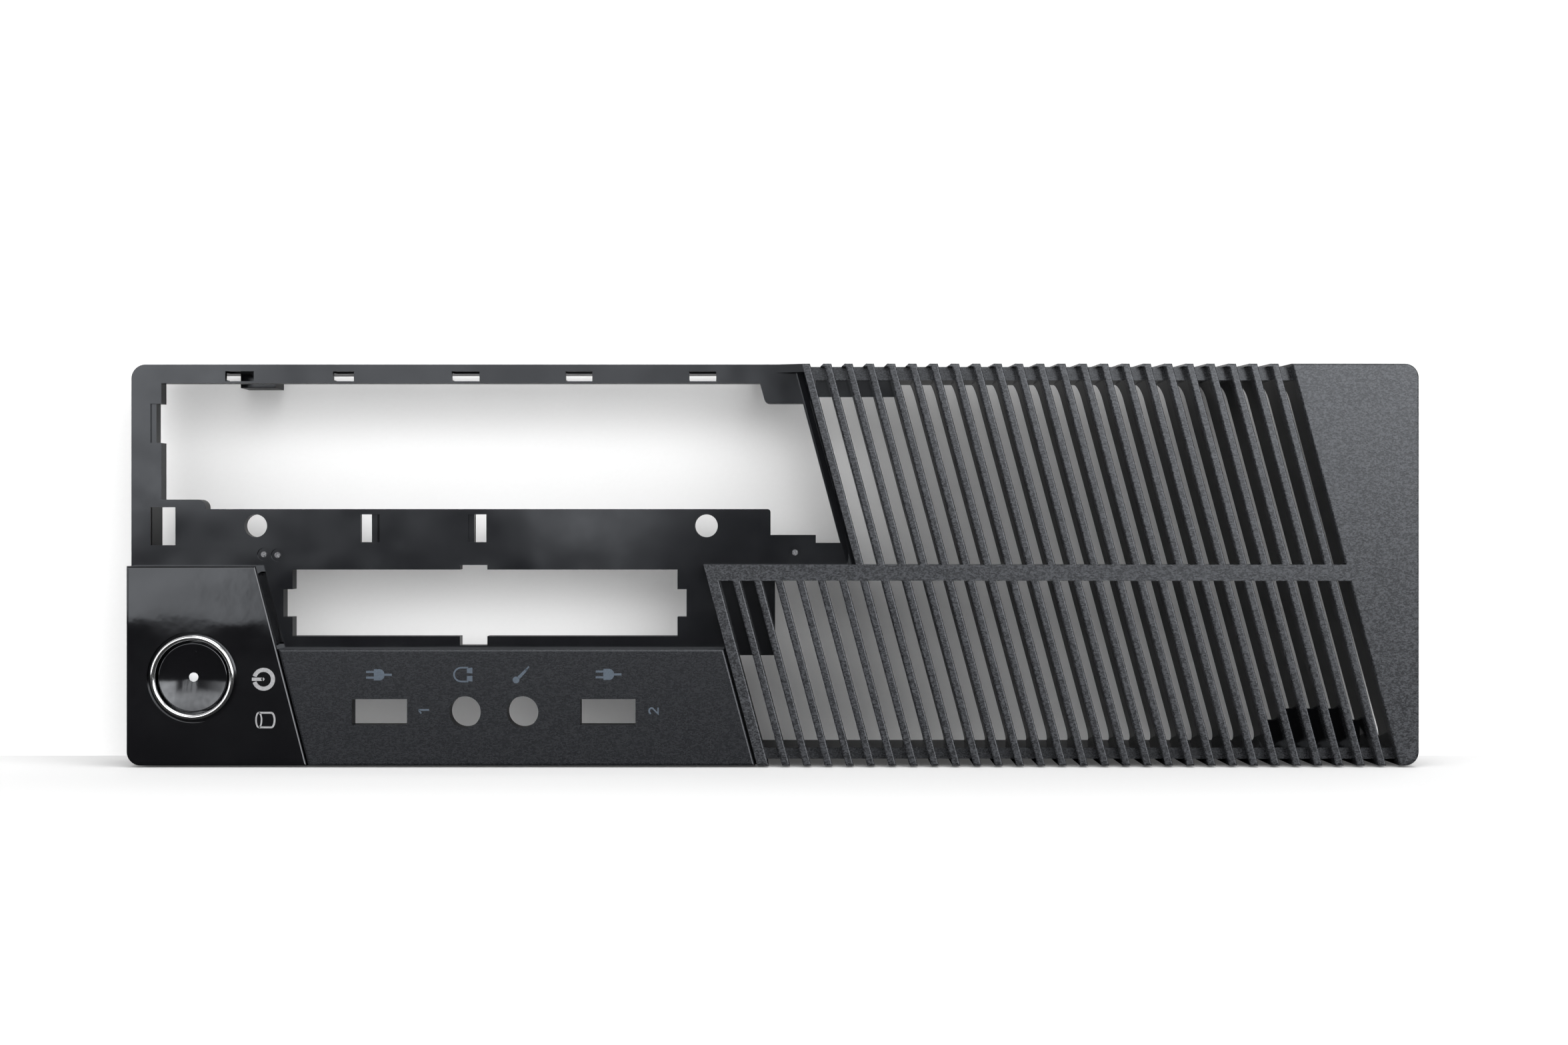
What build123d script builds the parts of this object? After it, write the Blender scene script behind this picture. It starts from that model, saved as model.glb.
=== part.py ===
"""Front bezel of a small desktop computer.

The bezel stands upright as it is fitted: X runs along its long side, Z is up
and the front looks along -Y. Inside this file a place is given from the left
end (u), up from the lower front edge (z) and back from the front faces (y).
The last function moves everything so that the origin is at the middle of the
underside of the whole part's box.

One moulding carries the rest: a smooth recessed plate with the drive and card
openings at the left, a slanted grille with wrap-round slats at the right, and
the walls behind both. A port panel and a glossy button panel are set into it.
"""
import os
from math import cos, radians, sin, tan

from build123d import *

# Whole bezel, in millimetres
WIDTH = 336.8
HEIGHT = 104.8
DEPTH = 30.0
CORNER_R = 3.6
DRAFT = 1.0
EDGE_R = 0.6
WALL = 2.2
SLANT = 15.0

# Recessed plate and the lips round its openings
RECESS = 6.0
PLATE = 2.2
LIP = 0.9
LIP_DEPTH = 6.0

# Drive opening
LEFT_BAR = 7.75
TOP_BAR = 4.8
DRIVE_LOW = 66.9
DRIVE_STEP_U = 19.45
DRIVE_STEP_H = 2.5
DRIVE_STEP_R = 2.1
CROSSBAR_END_U = 167.8
CROSSBAR_DROP = 6.8
DROP_W = 11.9
FOOT_DROP = 2.1
OPENING_SLAT_GAP = 2.4
TAB_W = 9.9
TAB_H = 5.3
TAB_R = 1.6
CATCH_W = 10.3
CATCH_FROM_TOP = 5.4
CATCH_POCKET = 2.9
CATCH_THROUGH = 1.5
POCKET_DEPTH = 1.0

# Slots in the top bar, holes and slots in the crossbar
TOP_SLOTS = ((28.3, 7.5), (55.6, 5.5), (87.7, 7.3), (117.5, 7.0), (150.0, 7.1))
TOP_SLOT_H = 2.1
LOCATOR_R = 3.0
LOCATOR_U = (32.55, 150.95)
LOCATOR_BELOW = 4.4
LOCATOR_DEPTH = 4.0
BAR_SLOTS = ((61.9, 3.5), (90.75, 4.8))
BAR_SLOT_H = 7.3
BAR_SLOT_BELOW = 5.05
CORNER_HOLE_W = 6.6
CORNER_HOLE_H = 10.0
CORNER_HOLE_U = 8.15
CORNER_HOLE_Z = 62.4
GATE_MARKS = ((174.25, 55.5), (38.25, 54.8), (34.65, 55.0))
GATE_R = 1.7
GATE_PIP_R = 0.75
GATE_DEPTH = 0.5

# Card opening
CARD_U = 92.8
CARD_W = 101.1
CARD_LOW = 33.5
CARD_H = 17.5
CARD_NOTCH_U = 89.8
CARD_NOTCH_W = 7.2
CARD_NOTCH_UP = 1.2
CARD_NOTCH_DOWN = 2.4
CARD_EAR_H = 7.3
CARD_EAR = 2.4
CARD_EAR_Z = 42.2

# Grille
PITCH = 5.55
SLAT_W = 2.05
SLAT_COUNT = 30
LOWER_ONLY = 7
FIRST_SLAT_U = 167.35
FIRST_SLAT_W = 2.95
SLAT_DEPTH = 17.5
SLAT_DRAFT = 1.0
SLAT_EDGE_R = 0.4
BAR_SET_BACK = 5.0
TOP_RAIL_H = 3.5
BOTTOM_RAIL_H = 2.9
RIB_PROUD_TOP = 0.6
RIB_PROUD_BOTTOM = 1.4
MID_BAR_LOW = 48.2
MID_BAR_H = 4.2
MID_BAR_DEPTH = 6.0
GUSSET_REACH = 4.5
COVE = 2.2
SHADE_U = 169.0
SHADE_LOW = 28.5
TAB_BEHIND_U = (179.65, 200.85)
TAB_BEHIND_H = 4.3
BLOCK_U = (297.2, 323.9)
BLOCK_TOP = 14.0
BLOCK_STEP = 3.0
BLOCK_FRONT = 12.0

# Port panel
PANEL_FIT = 0.25
PANEL_SKIN = 2.0
PANEL_WALL = 1.5
PORT_TOP = 30.4
PORT_SEAM = 0.6
USB_W = 14.4
USB_H = 6.7
USB_U = (65.95, 125.45)
AUDIO_R = 4.1
AUDIO_U = (88.25, 103.25)
PORT_Z = 14.0
PORT_COLLAR = 1.2
PORT_BAY_MARGIN = 4.0
PORT_BAY_H = 14.0

# Snap hooks of both panels, which pass through slots in the plate
HOOK_W = 6.0
HOOK_T = 1.4
HOOK_BARB = 0.7
HOOK_FIT = 0.3
HOOK_LENGTH = 2.4
PORT_HOOKS = ((60.0, 26.0, 1), (96.0, 26.0, 1), (140.0, 26.0, 1), (60.0, 4.6, -1), (145.0, 4.6, -1))
BUTTON_HOOKS = ((12.0, 48.0, 1), (30.0, 48.0, 1), (36.5, 4.6, -1))

# Button panel
BUTTON_PANEL_TOP = 52.0
BUTTON_PANEL_U = 47.1
BUTTON_SLANT = 14.5
BUTTON_SKIN = 2.2
SIDE_FLANK = 11.0
SIDE_FLANK_T = 1.2
SIDE_SLOT = 1.1
SIDE_SLOT_LOW = 31.5
SIDE_SLOT_HIGH = 50.5

# Chrome ring
BUTTON_U = 17.25
BUTTON_Z = 23.0
RING_R = 11.1
RING_BORE_R = 9.6
RING_PROUD = 0.9
RING_SEAT = 1.0
RING_GAP = 0.8
SLEEVE_BACK = 5.4
SLEEVE_WALL = 1.0
SLEEVE_FIT = 0.1
COLLAR_WALL = 1.4
COLLAR_BACK = 4.4

# Power button
CAP_FIT = 0.5
CAP_SET_BACK = 0.2
CAP_EDGE = 0.35
CAP_DISH = 1.3
CAP_SKIN = 1.8
CAP_WALL = 1.5
FLANGE_T = 1.5
FLANGE_GAP = 0.3
TRAVEL = 1.8
STEM_R = 3.0
STEM_FIT = 0.1
STEM_PAST = 1.5
LENS_R = 1.2
LENS_FIT = 0.05
LENS_PROUD = 0.2

# Button guide behind the panel, its spring and screws
GUIDE_BORE_FIT = 0.4
GUIDE_WALL = 1.6
GUIDE_HOLE_FIT = 0.4
GUIDE_FLOOR_FRONT = 15.0
GUIDE_FLOOR = 1.6
EAR_T = 2.0
EAR_W = 7.0
EAR_REACH = 15.6
SPRING_R = 5.2
SPRING_WIRE_R = 0.4
SPRING_TURNS = 4
SCREW_R = 1.1
SCREW_FIT = 0.05
SCREW_HEAD_R = 2.1
SCREW_HEAD_H = 1.4
SCREW_LENGTH = 5.0
BOSS_R = 2.4
BOSS_FRONT = 2.6

# Light guide behind the two printed signs
SIGN_U = 36.4
SIGN_Z = (22.5, 11.9)
POST_R = 2.0
GUIDE_PLATE_W = 8.0
GUIDE_PLATE_H = 22.0
GUIDE_PLATE_T = 1.6
LIGHT_BAY_W = 5.6
LIGHT_BAY_H = 16.4
STAKE_R = 0.9
STAKE_FIT = 0.1
STAKE_HEAD_R = 1.4
STAKE_HEAD_H = 0.7

# Catches on the rear rim
LATCH_U = (50.0, 168.4, 286.8)
LATCH_W = 12.0
LATCH_T = 2.0
LATCH_REACH = 6.0
LATCH_BARB = 1.2

LEAN = tan(radians(SLANT))
BUTTON_LEAN = tan(radians(BUTTON_SLANT))
FLARE = tan(radians(DRAFT))
SLAT_FLARE = tan(radians(SLAT_DRAFT))
GAP = PITCH - SLAT_W
PLATE_BACK = RECESS + PLATE
OVER = 1.0
FAR = 400.0

MID_BAR_TOP = MID_BAR_LOW + MID_BAR_H
RAIL_TOP = HEIGHT - RIB_PROUD_TOP
RAIL_UNDER = RAIL_TOP - TOP_RAIL_H
SILL_UNDER = RIB_PROUD_BOTTOM
SILL_TOP = RIB_PROUD_BOTTOM + BOTTOM_RAIL_H
DRIVE_TOP = HEIGHT - TOP_BAR
CARD_TOP = CARD_LOW + CARD_H

SLEEVE_R = RING_BORE_R + SLEEVE_WALL
CAP_R = RING_BORE_R - CAP_FIT
CAP_INSIDE = CAP_SET_BACK + CAP_DISH + CAP_SKIN
FLANGE_R = SLEEVE_R
FLANGE_FRONT = SLEEVE_BACK + FLANGE_GAP
FLANGE_BACK = FLANGE_FRONT + FLANGE_T
GUIDE_BORE_R = FLANGE_R + GUIDE_BORE_FIT
GUIDE_R = GUIDE_BORE_R + GUIDE_WALL
GUIDE_BACK = GUIDE_FLOOR_FRONT + GUIDE_FLOOR
STEM_BACK = GUIDE_BACK + STEM_PAST
EAR_BACK = PLATE_BACK + EAR_T
SCREW_Z = (BUTTON_Z + EAR_REACH, BUTTON_Z - EAR_REACH)
SIGN_MIDDLE = sum(SIGN_Z) / 2
STAKE_Z = [SIGN_MIDDLE + side * (LIGHT_BAY_H + GUIDE_PLATE_H) / 4 for side in (1, -1)]


def at(u):
    """X of a place that lies u from the left end."""
    return u - WIDTH / 2


def slat_left(i, z=0.0):
    """X of the left edge of slat i at height z."""
    width = FIRST_SLAT_W if i == 0 else SLAT_W
    return at(FIRST_SLAT_U + i * PITCH - width) - z * LEAN


def slat_right(i, z=0.0):
    """X of the right edge of slat i at height z."""
    return at(FIRST_SLAT_U + i * PITCH) - z * LEAN


def button_panel_edge(z):
    """X of the slanted right edge of the button panel at height z."""
    return at(BUTTON_PANEL_U) - z * BUTTON_LEAN


def flat(points):
    """A flat face in the front plane through (x, z) points."""
    return make_face(Polyline(*points, close=True))


def rounded(face, corners):
    """The face with each corner nearest to an (x, z) point rounded."""
    for place, radius in corners:
        corner = face.vertices().sort_by_distance((place[0], place[1], 0))[0]
        face = fillet(corner, radius)
    return face


def back_from(face, y0, y1):
    """A front-plane face made solid from depth y0 back to depth y1."""
    return extrude(Plane.XZ.offset(-y0) * face, amount=y1 - y0, dir=(0, 1, 0))


def rectangle(u, z, w, h):
    """A front-plane rectangle about a place given from the left end."""
    return Pos(at(u), z) * Rectangle(w, h)


def box_between(u0, u1, y0, y1, z0, z1):
    """A box between two corners, with u from the left end."""
    face = rectangle((u0 + u1) / 2, (z0 + z1) / 2, u1 - u0, z1 - z0)
    return back_from(face, y0, y1)


def rod(u, z, radius, y0, y1):
    """A round rod along Y."""
    return back_from(Pos(at(u), z) * Circle(radius), y0, y1)


def outline(y, inset=0.0):
    """The bezel's outline at depth y, which grows to the back with the draft."""
    grow = y * FLARE - inset
    radius = max(CORNER_R + grow, EDGE_R)
    face = Pos(0, HEIGHT / 2) * RectangleRounded(WIDTH + 2 * grow, HEIGHT + 2 * grow, radius)
    return Plane.XZ.offset(-y) * face


def drafted(y0, y1, inset=0.0):
    """The drafted block of the bezel between two depths."""
    return loft([outline(y0, inset).faces()[0], outline(y1, inset).faces()[0]], ruled=True)


def left_zone(step_z):
    """The front-plane area left of the grille; it reaches to slat 7 above step_z."""
    low, high = -FAR / 8, HEIGHT + FAR / 8
    return flat([
        (-FAR, low),
        (slat_left(0, low), low),
        (slat_left(0, step_z), step_z),
        (slat_left(LOWER_ONLY, step_z), step_z),
        (slat_left(LOWER_ONLY, high), high),
        (-FAR, high),
    ])


def gap_section():
    """Level section of one grille gap about its own middle, wider to the back."""
    half, mouth = GAP / 2, GAP / 2 + SLAT_EDGE_R
    end = DEPTH + OVER
    back = half + (end - SLAT_EDGE_R) * SLAT_FLARE
    right = (Vector(mouth, 0), Vector(half, SLAT_EDGE_R), Vector(back, end))
    left = [Vector(-p.X, p.Y) for p in right]
    bend = SLAT_EDGE_R * (1 - cos(radians(45)))
    edges = [
        Line((-mouth, -OVER), (mouth, -OVER)),
        Line((mouth, -OVER), right[0]),
        ThreePointArc(right[0], (half + bend, bend), right[1]),
        Line(right[1], right[2]),
        Line(right[2], left[2]),
        Line(left[2], left[1]),
        ThreePointArc(left[1], (-half - bend, bend), left[0]),
        Line(left[0], (-mouth, -OVER)),
    ]
    return make_face(edges)


def gap_side(low_z, high_z):
    """Side view of what a gap removes: all but the rails and the middle bar."""
    past = DEPTH + OVER
    grow = past * FLARE
    side = Polyline((-OVER, low_z), (past, low_z), (past, high_z), (-OVER, high_z), close=True)
    top_rail = Polyline(
        (BAR_SET_BACK, RAIL_UNDER), (past, RAIL_UNDER),
        (past, RAIL_TOP + grow), (BAR_SET_BACK, RAIL_TOP), close=True)
    sill = Polyline(
        (BAR_SET_BACK, SILL_TOP), (past, SILL_TOP),
        (past, SILL_UNDER - grow), (BAR_SET_BACK, SILL_UNDER), close=True)
    mid_bar = Polyline(
        (-OVER, MID_BAR_LOW), (MID_BAR_DEPTH, MID_BAR_LOW),
        (MID_BAR_DEPTH, MID_BAR_TOP), (-OVER, MID_BAR_TOP), close=True)
    face = make_face(side) - make_face(top_rail) - make_face(sill) - make_face(mid_bar)
    return extrude(Plane.YZ * face, amount=FAR, both=True)


def gap_cutter(low_z, high_z):
    """One slanted gap, placed right of slat 0."""
    rise = high_z - low_z
    middle = slat_right(0, low_z) + GAP / 2
    section = Pos(middle, 0, low_z) * gap_section()
    lean = (-sin(radians(SLANT)), 0, cos(radians(SLANT)))
    prism = extrude(section, amount=rise / cos(radians(SLANT)), dir=lean)
    return prism & gap_side(low_z, high_z)


def grille_gaps():
    """All gaps between the slats: long ones, and short ones under the middle bar."""
    reach = DEPTH * FLARE + OVER
    long_gap = gap_cutter(-reach, HEIGHT + reach)
    short_gap = gap_cutter(-reach, MID_BAR_LOW)
    short = [Pos(i * PITCH, 0, 0) * short_gap for i in range(LOWER_ONLY)]
    long = [Pos(i * PITCH, 0, 0) * long_gap for i in range(LOWER_ONLY, SLAT_COUNT)]
    return short + long


def behind_slats():
    """The space behind the slats, whose ends curve back into the rails."""
    past = DEPTH + OVER
    low, high = SILL_TOP, RAIL_UNDER
    edges = [
        Line((past, low), (DEPTH, low)),
        EllipticalCenterArc(
            (DEPTH, low + GUSSET_REACH), DEPTH - SLAT_DEPTH, GUSSET_REACH, 180, arc_size=90),
        Line((SLAT_DEPTH, low + GUSSET_REACH), (SLAT_DEPTH, high - GUSSET_REACH)),
        EllipticalCenterArc(
            (DEPTH, high - GUSSET_REACH), DEPTH - SLAT_DEPTH, GUSSET_REACH, 90, arc_size=90),
        Line((DEPTH, high), (past, high)),
        Line((past, high), (past, low)),
    ]
    face = make_face(edges)
    return extrude(Plane.YZ * face, amount=FAR, both=True)


def end_panel_core():
    """The hollow behind the plain panel at the right end."""
    edge = slat_left(SLAT_COUNT) + WALL
    low, high = -FAR / 8, HEIGHT + FAR / 8
    area = flat([
        (edge - low * LEAN, low), (FAR, low), (FAR, high), (edge - high * LEAN, high)])
    return back_from(area, WALL, DEPTH + OVER) & drafted(WALL, DEPTH + OVER, WALL)


def drive_opening():
    """The drive opening with its steps, tab and side catch."""
    left, right = at(LEFT_BAR), slat_left(LOWER_ONLY) - OPENING_SLAT_GAP
    step_z = DRIVE_LOW + DRIVE_STEP_H
    drop_z = DRIVE_LOW - CROSSBAR_DROP
    foot_z = drop_z - FOOT_DROP
    tab_z = DRIVE_TOP - TAB_H
    tab_x = right - tab_z * LEAN - TAB_W
    catch_z = DRIVE_TOP - CATCH_FROM_TOP
    drop_x = at(CROSSBAR_END_U)
    points = [
        (left, step_z),
        (at(DRIVE_STEP_U), step_z),
        (at(DRIVE_STEP_U), DRIVE_LOW),
        (drop_x, DRIVE_LOW),
        (drop_x, drop_z),
        (drop_x + DROP_W, drop_z),
        (drop_x + DROP_W, foot_z),
        (right - foot_z * LEAN, foot_z),
        (right - tab_z * LEAN, tab_z),
        (tab_x, tab_z),
        (tab_x - TAB_H * LEAN, DRIVE_TOP),
        (left, DRIVE_TOP),
        (left, catch_z),
        (left - CATCH_THROUGH, catch_z),
        (left - CATCH_THROUGH, catch_z - CATCH_W),
        (left, catch_z - CATCH_W),
    ]
    corners = [
        ((at(DRIVE_STEP_U), step_z), DRIVE_STEP_R),
        ((drop_x, DRIVE_LOW), TAB_R / 2),
        ((tab_x, tab_z), TAB_R),
    ]
    return rounded(flat(points), corners)


def card_opening():
    """The card opening: a rectangle with a notch or ear on each side."""
    middle = CARD_LOW + CARD_H / 2
    window = rectangle(CARD_U, middle, CARD_W, CARD_H)
    notch_low, notch_high = CARD_LOW - CARD_NOTCH_DOWN, CARD_TOP + CARD_NOTCH_UP
    notch = rectangle(
        CARD_NOTCH_U, (notch_low + notch_high) / 2, CARD_NOTCH_W, notch_high - notch_low)
    ears = rectangle(CARD_U, CARD_EAR_Z, CARD_W + 2 * CARD_EAR, CARD_EAR_H)
    return window + notch + ears


def lipped(body, face):
    """Cut an opening through the plate and give it a lip towards the back."""
    grown = offset(face, amount=LIP, kind=Kind.INTERSECTION)
    lip = back_from(grown, RECESS, RECESS + LIP_DEPTH)
    body += lip & drafted(RECESS, DEPTH)
    return body - back_from(face, -OVER, RECESS + LIP_DEPTH + OVER)


def slots_and_holes():
    """The small openings of the top bar and the crossbar."""
    back = PLATE_BACK + OVER
    slot_z = DRIVE_TOP + LIP + TOP_SLOT_H / 2
    cuts = [
        back_from(rectangle(u, slot_z, w, TOP_SLOT_H), -OVER, back) for u, w in TOP_SLOTS]
    bar_slot_z = DRIVE_LOW - BAR_SLOT_BELOW
    cuts += [
        back_from(rectangle(u, bar_slot_z, w, BAR_SLOT_H), -OVER, back) for u, w in BAR_SLOTS]
    cuts += [
        rod(u, DRIVE_LOW - LOCATOR_BELOW, LOCATOR_R, -OVER, RECESS + LOCATOR_DEPTH + OVER)
        for u in LOCATOR_U]
    corner = rectangle(CORNER_HOLE_U, CORNER_HOLE_Z, CORNER_HOLE_W, CORNER_HOLE_H)
    cuts.append(back_from(corner, -OVER, back))
    catch_z = DRIVE_TOP - CATCH_FROM_TOP - CATCH_W / 2
    pocket = rectangle(LEFT_BAR - CATCH_POCKET / 2, catch_z, CATCH_POCKET, CATCH_W)
    cuts.append(back_from(pocket, -OVER, RECESS + POCKET_DEPTH))
    return cuts


def gate_marks():
    """Round dimples with a pip, where the moulding was fed."""
    floor = RECESS + GATE_DEPTH
    return [
        rod(u, z, GATE_R, -OVER, floor) - rod(u, z, GATE_PIP_R, RECESS, floor)
        for u, z in GATE_MARKS]


def openings_behind_panels():
    """What the plate leaves open behind the port and button panels."""
    back = PLATE_BACK + OVER
    bay_w = USB_U[1] - USB_U[0] + USB_W + 2 * PORT_BAY_MARGIN
    bay = rectangle((USB_U[0] + USB_U[1]) / 2, PORT_Z, bay_w, PORT_BAY_H)
    cuts = [back_from(bay, RECESS - OVER, back)]
    cuts.append(rod(BUTTON_U, BUTTON_Z, GUIDE_R + GUIDE_HOLE_FIT, RECESS - OVER, back))
    light = rectangle(SIGN_U, SIGN_MIDDLE, LIGHT_BAY_W, LIGHT_BAY_H)
    cuts.append(back_from(light, RECESS - OVER, back))
    cuts.append(back_from(
        side_strip(SIDE_SLOT_LOW, SIDE_SLOT_HIGH, -SIDE_FLANK_T - HOOK_FIT, SIDE_SLOT),
        RECESS - OVER, back))
    for u, z, up in PORT_HOOKS + BUTTON_HOOKS:
        high = HOOK_T / 2 + HOOK_FIT / 3
        low = HOOK_T / 2 + HOOK_BARB + HOOK_FIT
        slot = rectangle(u, z + up * (high - low) / 2, HOOK_W + 2 * HOOK_FIT, high + low)
        cuts.append(back_from(slot, RECESS - OVER, back))
    for z in SCREW_Z:
        cuts.append(rod(BUTTON_U, z, SCREW_R + SCREW_FIT, BOSS_FRONT - OVER, back))
    return cuts


def side_strip(low, high, near, far):
    """A slanted strip beside the button panel's right edge."""
    return flat([
        (button_panel_edge(low) + near, low), (button_panel_edge(low) + far, low),
        (button_panel_edge(high) + far, high), (button_panel_edge(high) + near, high)])


def light_guide_stake(z):
    """A pin on the plate with its end flattened over the light guide."""
    shoulder = PLATE_BACK + GUIDE_PLATE_T
    pin = rod(SIGN_U, z, STAKE_R, PLATE_BACK, shoulder)
    return pin + rod(SIGN_U, z, STAKE_HEAD_R, shoulder, shoulder + STAKE_HEAD_H)


def latch(u, z, up):
    """A catch that reaches back from the rear rim; up is 1 or -1."""
    inner = z - up * LATCH_T / 2
    start = DEPTH - LATCH_REACH
    end = DEPTH + LATCH_REACH
    barb = up * (LATCH_T / 2 + LATCH_BARB)
    side = Polyline(
        (start, inner), (end, inner), (end, z + up * LATCH_T / 2),
        (end - LATCH_REACH / 2, z + barb), (end - LATCH_REACH / 2, z + up * LATCH_T / 2),
        (start, z + up * LATCH_T / 2), close=True)
    face = Pos(at(u) - LATCH_W / 2, 0, 0) * (Plane.YZ * make_face(side))
    return extrude(face, amount=LATCH_W)


def cove():
    """The hollow curve between the recessed plate and slat 7."""
    x, y = slat_left(LOWER_ONLY), RECESS
    bend = COVE * (1 - sin(radians(45)))
    edges = [
        Line((x - COVE, y), (x + OVER, y)),
        Line((x + OVER, y), (x + OVER, y - COVE)),
        Line((x + OVER, y - COVE), (x, y - COVE)),
        ThreePointArc((x, y - COVE), (x - bend, y - bend), (x - COVE, y)),
    ]
    rise = HEIGHT - MID_BAR_LOW
    section = Pos(-MID_BAR_LOW * LEAN, 0, MID_BAR_LOW) * make_face(edges)
    lean = (-sin(radians(SLANT)), 0, cos(radians(SLANT)))
    return extrude(section, amount=rise / cos(radians(SLANT)), dir=lean)


def front_moulding():
    """The main moulding: plate, grille, end panel, walls and rear catches."""
    body = drafted(0, DEPTH)
    front = body.faces().sort_by(Axis.Y)[0]
    body = fillet(front.edges(), EDGE_R)
    recess = back_from(left_zone(MID_BAR_TOP), -OVER, RECESS)
    hollow = drafted(PLATE_BACK, DEPTH + OVER, WALL)
    behind = back_from(left_zone(MID_BAR_LOW), PLATE_BACK, DEPTH + OVER)
    slat_space = behind_slats() & drafted(PLATE_BACK, DEPTH + OVER, WALL)
    body = body - recess - (hollow & behind) - slat_space - end_panel_core()
    body = body - grille_gaps()

    shade = box_between(0, SHADE_U, RECESS, PLATE_BACK, SHADE_LOW, MID_BAR_LOW)
    shade &= back_from(
        flat([(slat_left(0, 0), 0), (FAR, 0), (FAR, HEIGHT), (slat_left(0, HEIGHT), HEIGHT)]),
        0, DEPTH)
    tab = box_between(
        *TAB_BEHIND_U, RECESS, PLATE_BACK, RAIL_UNDER - TAB_BEHIND_H, RAIL_UNDER)
    block = box_between(
        *BLOCK_U, BLOCK_FRONT, BLOCK_FRONT + PLATE, SILL_TOP, BLOCK_TOP - BLOCK_STEP)
    block += box_between(
        BLOCK_U[0] + PITCH, BLOCK_U[1] - PITCH, BLOCK_FRONT, BLOCK_FRONT + PLATE,
        SILL_TOP, BLOCK_TOP)
    body = body + shade + tab + block + cove()

    for u in LOCATOR_U:
        body += rod(u, DRIVE_LOW - LOCATOR_BELOW, LOCATOR_R + WALL / 2, RECESS,
                    RECESS + LOCATOR_DEPTH)
    for u in LATCH_U:
        body += latch(u, HEIGHT - LATCH_T / 2 - LIP, 1)
        body += latch(u, LATCH_T / 2 + LIP, -1)
    for z in SCREW_Z:
        body += rod(BUTTON_U, z, BOSS_R, BOSS_FRONT, RECESS)
    body = lipped(body, drive_opening())
    body = lipped(body, card_opening())
    body = body - slots_and_holes() - gate_marks() - openings_behind_panels()
    for z in STAKE_Z:
        body += light_guide_stake(z)
    return body


def snap_hook(u, z, up, start):
    """A hook that reaches back through the plate and catches behind it."""
    half = HOOK_T / 2
    catch = PLATE_BACK + HOOK_FIT / 3
    end = PLATE_BACK + HOOK_LENGTH
    side = Polyline(
        (start, z - half), (end, z - half), (end, z + half - HOOK_BARB / 2),
        (catch + HOOK_BARB, z + half + HOOK_BARB), (catch, z + half + HOOK_BARB),
        (catch, z + half), (start, z + half), close=True)
    face = make_face(side)
    if up < 0:
        face = mirror(face, about=Plane.XZ.offset(-z))
    return extrude(Pos(at(u) - HOOK_W / 2, 0, 0) * (Plane.YZ * face), amount=HOOK_W)


def panel_shell(zone, skin):
    """A tray over an area of the front: a skin with walls back to the plate."""
    block = back_from(zone, -OVER, RECESS) & drafted(0, RECESS)
    front = block.faces().sort_by(Axis.Y)[0]
    shell = fillet(front.edges(), EDGE_R)
    inner = offset(zone & (Pos(0, HEIGHT / 2) * Rectangle(WIDTH, HEIGHT)), amount=-PANEL_WALL)
    return shell - back_from(inner, skin, RECESS + OVER)


def port_panel():
    """The textured panel with windows for two data ports and two audio jacks."""
    low = -FAR / 8
    right = slat_left(0) - PORT_SEAM
    left_low = button_panel_edge(low) + PANEL_FIT
    left_top = button_panel_edge(PORT_TOP) + PANEL_FIT
    zone = flat([
        (left_low, low), (right - low * LEAN, low),
        (right - PORT_TOP * LEAN, PORT_TOP), (left_top, PORT_TOP)])
    panel = panel_shell(zone, PANEL_SKIN)
    frame_w, frame_h = USB_W + 2 * PORT_COLLAR, USB_H + 2 * PORT_COLLAR
    for u in USB_U:
        panel += back_from(rectangle(u, PORT_Z, frame_w, frame_h), PANEL_SKIN, RECESS)
    for u in AUDIO_U:
        panel += rod(u, PORT_Z, AUDIO_R + PORT_COLLAR, PANEL_SKIN, RECESS)
    for u in USB_U:
        panel -= back_from(rectangle(u, PORT_Z, USB_W, USB_H), -OVER, RECESS + OVER)
    for u in AUDIO_U:
        panel -= rod(u, PORT_Z, AUDIO_R, -OVER, RECESS + OVER)
    for u, z, up in PORT_HOOKS:
        panel += snap_hook(u, z, up, PANEL_SKIN)
    return panel


def button_panel():
    """The glossy panel round the power button, with a deep flank at its right."""
    low = -FAR / 8
    zone = flat([
        (-FAR, low), (button_panel_edge(low), low),
        (button_panel_edge(BUTTON_PANEL_TOP), BUTTON_PANEL_TOP), (-FAR, BUTTON_PANEL_TOP)])
    panel = panel_shell(zone, BUTTON_SKIN)
    flank = side_strip(
        SIDE_SLOT_LOW + HOOK_FIT, SIDE_SLOT_HIGH - HOOK_FIT, -SIDE_FLANK_T, 0)
    panel += back_from(flank, BUTTON_SKIN, SIDE_FLANK)
    panel += rod(BUTTON_U, BUTTON_Z, SLEEVE_R + COLLAR_WALL, BUTTON_SKIN, COLLAR_BACK)
    panel -= rod(BUTTON_U, BUTTON_Z, RING_R + RING_GAP, -OVER, RING_SEAT)
    panel -= rod(BUTTON_U, BUTTON_Z, SLEEVE_R + SLEEVE_FIT, -OVER, RECESS)
    for u, z, up in BUTTON_HOOKS:
        panel += snap_hook(u, z, up, BUTTON_SKIN)
    return panel


def turned(edges):
    """A round piece on the button's axis from edges in radius and depth."""
    return Pos(at(BUTTON_U), 0, BUTTON_Z) * revolve(make_face(edges), Axis.Y)


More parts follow.
